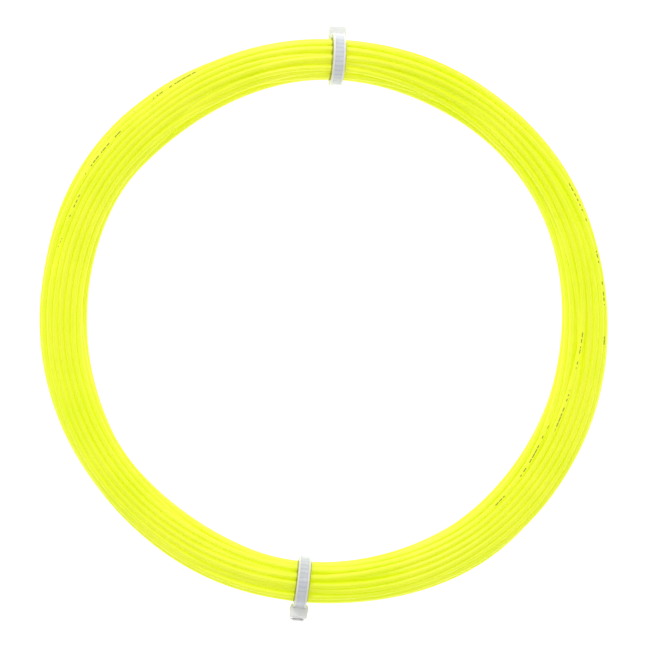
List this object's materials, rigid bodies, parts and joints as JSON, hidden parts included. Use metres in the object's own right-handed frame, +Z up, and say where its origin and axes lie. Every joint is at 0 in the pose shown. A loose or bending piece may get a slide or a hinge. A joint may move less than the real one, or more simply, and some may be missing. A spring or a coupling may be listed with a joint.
{
  "type": "tied coil of racket string",
  "caption": "Neon yellow racket string wound into a flat ring and held by translucent cable ties.",
  "frame": {"origin": "on the coil's axis, on the plane that the coil lies on", "axes": "+Z up along the coil's axis, +Y towards the upper tie, +X to the right seen from above"},
  "size_m": [0.1201, 0.126, 0.0113],
  "materials": {
    "string": "smooth neon yellow polyester monofilament, satin gloss, with sparse dark printed dashes",
    "tie_nylon": "natural nylon moulding, milky and slightly see-through, satin gloss"
  },
  "bodies": {
    "coil": {"string_coil": "string"},
    "upper_tie_body": {"upper_tie": "tie_nylon"},
    "upper_pawl_body": {"upper_tie_pawl": "tie_nylon"},
    "lower_tie_body": {"lower_tie": "tie_nylon"},
    "lower_pawl_body": {"lower_tie_pawl": "tie_nylon"}
  },
  "joints": [
    {"name": "upper_tie_swivel", "type": "hinge", "parent": "coil", "child": "upper_tie_body", "pos_m": [0.0025, 0.05502, 0.00567], "axis": [-0.9932, 0.052, 0.1045], "continuous": true},
    {"name": "upper_pawl_flex", "type": "hinge", "parent": "upper_tie_body", "child": "upper_pawl_body", "pos_m": [0.00244, 0.05996, 0.00267], "axis": [0.9932, -0.052, -0.1045], "range_deg": [0, 12], "stiffness_Nm_per_rad": 0.02},
    {"name": "lower_tie_swivel", "type": "hinge", "parent": "coil", "child": "lower_tie_body", "pos_m": [-0.0048, -0.05487, 0.00567], "axis": [0.992, -0.1183, -0.0436], "continuous": true},
    {"name": "lower_pawl_flex", "type": "hinge", "parent": "lower_tie_body", "child": "lower_pawl_body", "pos_m": [-0.0055, -0.06057, 0.00512], "axis": [-0.992, 0.1183, 0.0436], "range_deg": [0, 12], "stiffness_Nm_per_rad": 0.02}
  ]
}
